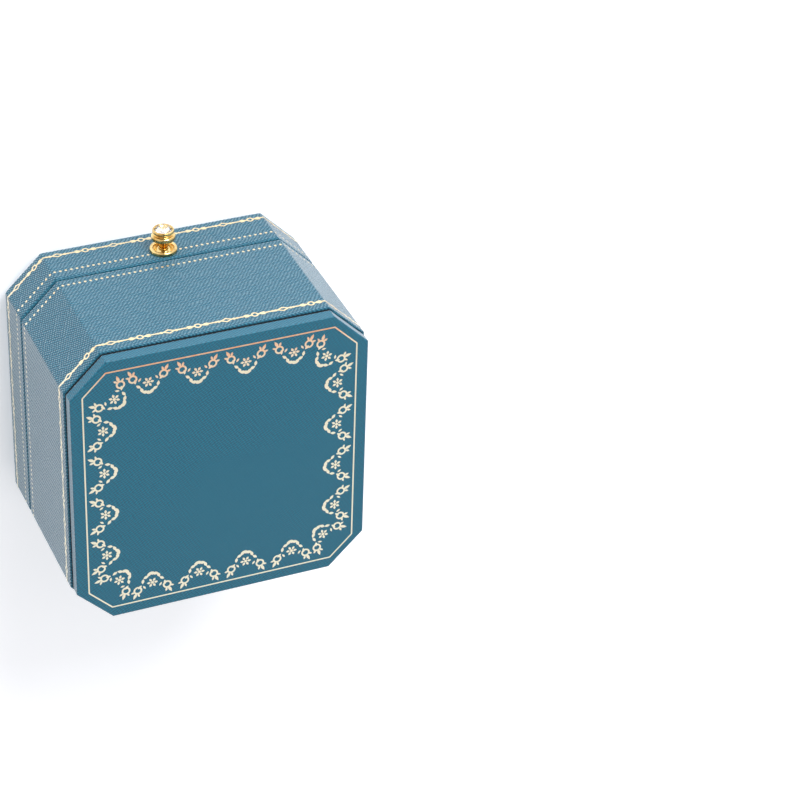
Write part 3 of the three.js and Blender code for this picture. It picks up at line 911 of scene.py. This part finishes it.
def knob():
    """Turned head with a rolled lower edge, a groove and a bezel, on a stepped shaft."""
    front, tail = (corner.y for corner in extent("button_knob"))
    plate = extent("latch_plate")[0].y
    shoulder, step = plate + 0.95, plate + 0.97
    corners_and_radii = [
        ((0, front + 1.2), 0),
        ((0.9, front + 1.2), 0),
        ((2.2, front + 0.15), 0),
        ((2.3, front), 0.04),
        ((2.62, front + 0.05), 0.15),
        ((2.74, front + 0.65), 0.3),
        ((2.25, front + 1.1), 0.12),
        ((2.2, front + 1.4), 0.12),
        ((3.0, front + 1.55), 0.5),
        ((3.0, front + 2.75), 0.6),
        ((2.1, front + 3.1), 0.3),
        ((1.35, front + 3.3), 0.15),
        ((1.35, front + 3.75), 0.1),
        ((1.1, front + 3.85), 0.1),
        ((1.1, shoulder), 0),
        ((0.8, step), 0),
        ((0.8, tail), 0.15),
        ((0, tail), 0),
    ]
    corners = [corner for corner, _ in corners_and_radii]
    radii = [radius for _, radius in corners_and_radii]
    profile = rounded(corners, radii, steps=5, closed=False)
    piece = turned("knob", profile, "Y", (0, 0, BUTTON_Z), sharp=45)
    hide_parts("button_knob")
    return dress(piece, "brass", "button")


def stone():
    """Round brilliant: a table, eight kites, sixteen girdle facets, and a shallow pavilion.

    It is the convex hull of its rings of corners, with the mirror foil on the pavilion.
    """
    low, high = extent("button_crystal")
    girdle = low.y + 0.78
    girdle_back = girdle + 0.12

    def ring(radius, y, count, turn=0.0):
        for i in range(count):
            angle = 2 * math.pi * (i + turn) / count
            yield Vector((radius * math.cos(angle), y, BUTTON_Z + radius * math.sin(angle)))

    points = [
        *ring(1.2, low.y, 8),
        *ring(1.68, low.y + 0.28, 8, 0.5),
        *ring(2.1, girdle, 16),
        *ring(2.1, girdle_back, 16),
        *ring(1.3, high.y - 0.32, 8, 0.5),
        *ring(0.12, high.y, 8),
    ]
    mesh = bpy.data.meshes.new("stone")
    work = bmesh.new()
    for point in points:
        work.verts.new(point * MM)
    hull = bmesh.ops.convex_hull(work, input=work.verts)
    loose = {item for item in hull["geom_interior"] if isinstance(item, bmesh.types.BMVert)}
    bmesh.ops.delete(work, geom=list(loose), context="VERTS")
    bmesh.ops.dissolve_limit(work, angle_limit=math.radians(1), verts=work.verts, edges=work.edges)
    bmesh.ops.recalc_face_normals(work, faces=work.faces)
    for face in work.faces:
        is_pavilion = face.calc_center_median().y > (girdle_back + 0.01) * MM
        face.material_index = 1 if is_pavilion else 0
    work.to_mesh(mesh)
    work.free()
    piece = bpy.data.objects.new("stone", mesh)
    bpy.context.scene.collection.objects.link(piece)
    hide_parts("button_crystal")
    dress(piece, "crystal_glass", "button")
    mesh.materials.append(MATERIALS["crystal_backing"])
    return piece


def button_spring():
    """Return spring round the button's tail. It shortens as the button is pressed."""
    low, high = extent("button_spring")
    wire, turns, steps = 0.2, 4, 40
    start, end = low.y + wire, high.y - wire
    radius = high.x - wire
    path = []
    for i in range(turns * steps + 1):
        angle = 2 * math.pi * i / steps
        y = start + (end - start) * i / (turns * steps)
        path.append((radius * math.sin(angle), y, BUTTON_Z + radius * math.cos(angle)))
    piece = tube("return_spring", path, wire)
    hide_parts("button_spring")
    dress(piece, "steel", None)
    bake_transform(piece)
    return piece


# ---------------------------------------------------------------- hinge

def hinge_spring():
    """Torsion spring round the pin. One leg bears on the lid and the other on the base."""
    wire, radius, end = 0.2, 1.13, 4.4
    turns, steps = 6, 40
    leg, leg_steps = 5.0, 4
    front = BARREL.y - radius
    path = [(end, front, SEAM + leg * (leg_steps - i) / leg_steps) for i in range(leg_steps)]
    for i in range(turns * steps + 1):
        angle = 2 * math.pi * i / steps
        x = end - 2 * end * i / (turns * steps)
        path.append((x, BARREL.y - radius * math.cos(angle), SEAM - radius * math.sin(angle)))
    path += [(-end, front, SEAM - leg * (i + 1) / leg_steps) for i in range(leg_steps)]
    piece = tube("torsion_spring", path, wire)
    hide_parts("hinge_spring")
    dress(piece, "steel", None)
    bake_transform(piece)
    return piece


# ---------------------------------------------------------------- lining and cushions

def foot_felt():
    """Felt sheet with softened edges that the box stands on."""
    low, high = extent("foot_felt")
    inset = HALF - high.x
    cap = inset + 8
    corners = [(cap, low.z), (inset, low.z), (inset, high.z), (cap, high.z)]
    profile = rounded(corners, [0, 0.12, 0.12, 0], closed=False, margin=0.1)
    piece = sweep_round_box("felt_foot", profile, closed=False)
    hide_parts("foot_felt")
    return dress(piece, "felt", "base")


def lid_lining():
    """Satin-covered card inside the lid's walls, softly gathered into upright folds."""
    low, high = extent("lid_liner")
    outer = HALF - high.x
    inner = outer + 0.7
    folds, samples_per_fold, fold_depth = 76, 6, 0.55

    def folded_ring(inset, z, depth):
        ring = rounded(outline(inset), 0.6, steps=5)
        lengths = running_lengths(ring, True)
        points = []
        samples = folds * samples_per_fold
        for i in range(samples):
            at = lengths[-1] * i / samples
            k = max(n for n in range(len(ring)) if lengths[n] <= at + 1e-9)
            share = (at - lengths[k]) / (lengths[k + 1] - lengths[k])
            here = ring[k].lerp(ring[(k + 1) % len(ring)], share)
            wave = 0.5 - 0.5 * math.cos(2 * math.pi * i / samples_per_fold)
            outward = here.normalized() * depth * wave
            points.append((here.x + outward.x, here.y + outward.y, z))
        return points

    rows = [(outer, low.z + 0.2, 0.0), (outer, high.z, 0.0), (inner, high.z, 0.0)]
    steps = 8
    top, bottom = high.z - 0.3, low.z + 0.35
    for i in range(steps + 1):
        share = i / steps
        fade = math.sin(math.pi * (0.04 + 0.92 * share)) ** 0.5
        rows.append((inner, top + (bottom - top) * share, fold_depth * fade))
    rows.append((inner - 0.12, low.z + 0.08, 0.0))
    rows.append((inner - 0.35, low.z, 0.0))
    rows.append((outer + 0.1, low.z, 0.0))
    piece = loft("lid_lining", [folded_ring(*row) for row in rows], closed=True, sharp=50)
    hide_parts("lid_liner")
    return dress(piece, "satin", "lid")


def deck():
    """Velvet-covered board with an opening for the cushions and a slot for the latch."""
    bottom, top = (corner.z for corner in extent("velvet_deck"))
    outer = HALF - extent("velvet_deck")[1].x
    half_x, half_y, leg = 23.0, 20.0, 1.2  # the opening for the cushions
    roll = 0.7  # radius of the velvet's turn into the opening

    def edge_ring(grow, z):
        rim_leg = leg + grow * (2 - math.sqrt(2))
        corners = clipped_rectangle(half_x + grow, half_y + grow, rim_leg)
        return [(x, y, z) for x, y in rounded(corners, 0.5 + grow / 2, margin=0.2)]

    def wall_ring(inset, z):
        return [(x, y, z) for x, y in rounded(outline(inset), 0.5, margin=0.2)]

    rings = [
        wall_ring(outer, bottom),
        wall_ring(outer, top - 0.4),
        wall_ring(outer + 0.12, top - 0.12),
        wall_ring(outer + 0.4, top),
        wall_ring(outer + 0.8, top),
        edge_ring(1.2, top),
    ]
    bends = 5
    for i in range(bends + 1):
        angle = math.pi / 2 * i / bends
        sink = roll * (1 - math.cos(angle))
        rings.append(edge_ring(roll * (1 - math.sin(angle)), top - sink))
    rings.append(edge_ring(0.0, bottom))
    piece = loft("deck_velvet", rings, closed=True)
    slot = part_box("latch_plate")[1].x / MM - 0.2
    depth = HALF - abs(extent("lid_strike")[1].y) + 0.5
    corners = [(-slot, -HALF), (slot, -HALF), (slot, depth - HALF), (-slot, depth - HALF)]
    cutter_rings = [[(x, y, z) for x, y in corners] for z in (bottom - 1, top + 1)]
    carve(piece, loft("cutter", cutter_rings))
    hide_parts("velvet_deck")
    return dress(piece, "velvet", "base")


CLOTH_SCALE = 10.0  # the cloth is simulated this many times life size
CLOTH_FRAMES = 20


def limited(values, lows, highs):
    """A vector with each part kept between its own limits."""
    return Vector([min(max(at, low), high) for at, low, high in zip(values, lows, highs)])


def stuffed(name, node, shrink, voxel, swell, room):
    """A cushion blown up from a slightly smaller copy of its CAD solid.

    shrink is how far each side starts inside the solid. swell holds the most that a point
    may move along each axis, and room is the (low, high) box that the cushion has to stay in.
    """
    piece = bpy.data.objects.new(name, frame["nodes"][node].data.copy())
    bpy.context.scene.collection.objects.link(piece)
    low, high = extent(node)
    middle, size = (low + high) / 2, high - low
    smaller = Vector([(side - 2 * shrink) / side for side in size])
    for vertex in piece.data.vertices:
        offset = vertex.co / MM - middle
        vertex.co = Vector([a * b for a, b in zip(offset, smaller)]) * MM * CLOTH_SCALE
    mould = piece.modifiers.new("remesh", "REMESH")
    mould.mode = "VOXEL"
    mould.voxel_size = voxel * MM * CLOTH_SCALE
    settle(piece)
    rest = [vertex.co.copy() for vertex in piece.data.vertices]
    blow_up(piece)
    lowest_move = [-most for most in swell]
    for vertex, start in zip(piece.data.vertices, rest):
        move = limited((vertex.co - start) / (MM * CLOTH_SCALE), lowest_move, swell)
        point = start / (MM * CLOTH_SCALE) + move + middle
        vertex.co = limited(point, *room) * MM
    smooth = piece.modifiers.new("smooth", "SUBSURF")
    smooth.levels = smooth.render_levels = 1
    piece.data.shade_smooth()
    return piece


def blow_up(piece):
    """Runs the cloth simulation and keeps its last frame."""
    cloth = piece.modifiers.new("cloth", "CLOTH")
    cloth.settings.use_pressure = True
    cloth.settings.uniform_pressure_force = 4.0
    cloth.settings.effector_weights.gravity = 0.0
    cloth.point_cache.frame_start = 1
    cloth.point_cache.frame_end = CLOTH_FRAMES
    for number in range(1, CLOTH_FRAMES + 1):
        bpy.context.scene.frame_set(number)
    settle(piece)
    bpy.context.scene.frame_set(1)


def ring_cushion(node):
    """One of the two velvet rolls that grip a ring between them."""
    low, high = extent(node)
    slack = Vector((0.25, 0.25, 0))
    room = (low - slack, high + slack + Vector((0, 0, 0.4)))
    name = node.replace("ring_cushion", "velvet_roll")
    piece = stuffed(name, node, shrink=0.45, voxel=0.7, swell=(0.5, 0.7, 0.7), room=room)
    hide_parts(node)
    return dress(piece, "velvet", "base")


def lid_cushion():
    """Padded satin in the top of the lid, which bulges down only."""
    node = "lid_pillow"
    low, high = extent(node)
    room = (low - Vector((0, 0, 2.5)), high)
    piece = stuffed("satin_pillow", node, shrink=0.2, voxel=1.0, swell=(0.35, 0.35, 3.0), room=room)
    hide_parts(node)
    return dress(piece, "satin", "lid")


# ---------------------------------------------------------------- the box

def button_hole():
    """Cutter for the hole that the button's ferrule passes through."""
    radius, front, back = 1.7, -HALF - 1, LIP - HALF
    profile = [(0, front), (radius, front), (radius, back), (0, back)]
    return turned("cutter", profile, "Y", (0, 0, BUTTON_Z))


def dress_carried_nodes():
    """Gives each CAD node that is still shown the material of its slot."""
    slots = {row["node"]: row["material_slot"] for row in frame["record"]["subparts"]}
    for name, node in frame["nodes"].items():
        if node.hide_render:
            continue
        for holder in node.material_slots:
            holder.material = MATERIALS[slots[name]]


def build_box():
    """Makes every new piece, then dresses the CAD nodes that are shown as they are."""
    wall_wrap("base", BASE_RIM, BASE_FOOT, button_hole())
    wall_wrap("lid", LID_RIM, LID_TOP)
    panel_wrap("base", BASE_PANEL[1], BASE_PANEL[0], PANEL_FOOT_INSET)
    panel_wrap("lid", LID_PANEL[0], LID_PANEL[1], PANEL_INSET)
    lid_border()
    lid_garlands()
    for body in ("lid", "base"):
        chain_row(body)
    for body in ("lid", "base"):
        dotted_row(body)
    escutcheon()
    knob()
    stone()
    button_spring()
    hinge_spring()
    foot_felt()
    lid_lining()
    deck()
    ring_cushion("ring_cushion_front")
    ring_cushion("ring_cushion_back")
    lid_cushion()
    dress_carried_nodes()


# ---------------------------------------------------------------- studio

AIM = Vector((-59.2, 11.9, 26.5))  # where the camera looks, left of the box
BOX_MIDDLE = Vector((0, 0, 30))
CAMERA_DISTANCE = 741.6
CAMERA_AZIMUTH = 31.08
CAMERA_ELEVATION = 48.90
CAMERA_ROLL = 143.59
LENS = 128.9
SENSOR = 36


def direction(azimuth, elevation):
    """Unit vector towards a place seen from the box. Azimuth 0 is the front."""
    a, e = math.radians(azimuth), math.radians(elevation)
    return Vector((math.sin(a) * math.cos(e), -math.cos(a) * math.cos(e), math.sin(e)))


def make_camera():
    data = bpy.data.cameras.new("camera")
    data.lens = LENS
    data.sensor_width = SENSOR
    data.clip_start, data.clip_end = 0.01, 20
    camera = bpy.data.objects.new("camera", data)
    bpy.context.scene.collection.objects.link(camera)
    back = direction(CAMERA_AZIMUTH, CAMERA_ELEVATION)
    turn = Matrix.Rotation(math.radians(CAMERA_ROLL), 4, "Z")
    facing = (-back).to_track_quat("-Z", "Y").to_matrix().to_4x4() @ turn
    camera.matrix_world = Matrix.Translation((AIM + back * CAMERA_DISTANCE) * MM) @ facing
    bpy.context.scene.camera = camera


def area_light(name, azimuth, elevation, distance, size, power):
    """A round lamp aimed at the middle of the box. power is in watts."""
    data = bpy.data.lights.new(name, "AREA")
    data.shape = "DISK"
    data.size = size * MM
    data.energy = power
    light = bpy.data.objects.new(name, data)
    bpy.context.scene.collection.objects.link(light)
    towards = direction(azimuth, elevation)
    light.location = (towards * distance + BOX_MIDDLE) * MM
    light.rotation_euler = towards.to_track_quat("Z", "Y").to_euler()


def make_floor():
    """A plain pale floor that glows a little, so that shadows on it stay pale."""
    side = 3000
    points = [(-side, -side, 0), (side, -side, 0), (side, side, 0), (-side, side, 0)]
    floor = make_piece("floor", points, [[0, 1, 2, 3]])
    material = new_material(
        "floor", Base_Color=(0.9, 0.9, 0.92, 1), Roughness=0.9, Specular_IOR_Level=0.1,
        Emission_Color=(1, 1, 1, 1), Emission_Strength=0.25,
    )[0]
    floor.data.materials.append(material)


def make_world():
    """Pale light all round, with a dark patch straight overhead."""
    world = bpy.data.worlds.new("studio")
    world.use_nodes = True
    sky = world.node_tree
    height = sky.nodes.new("ShaderNodeSeparateXYZ")
    sky.links.new(sky.nodes.new("ShaderNodeTexCoord").outputs["Generated"], height.inputs[0])
    glow = ramp(sky, height.outputs["Z"], [
        (0.84, (0.97, 0.98, 1.0)),
        (0.93, (0.12, 0.12, 0.13)),
    ])
    background = sky.nodes["Background"]
    sky.links.new(glow, background.inputs["Color"])
    background.inputs["Strength"].default_value = 1.0
    bpy.context.scene.world = world
    bpy.context.scene.view_settings.view_transform = "Standard"


build_box()
make_camera()
make_floor()
make_world()
area_light("key", azimuth=-15, elevation=32, distance=900, size=500, power=7.0)
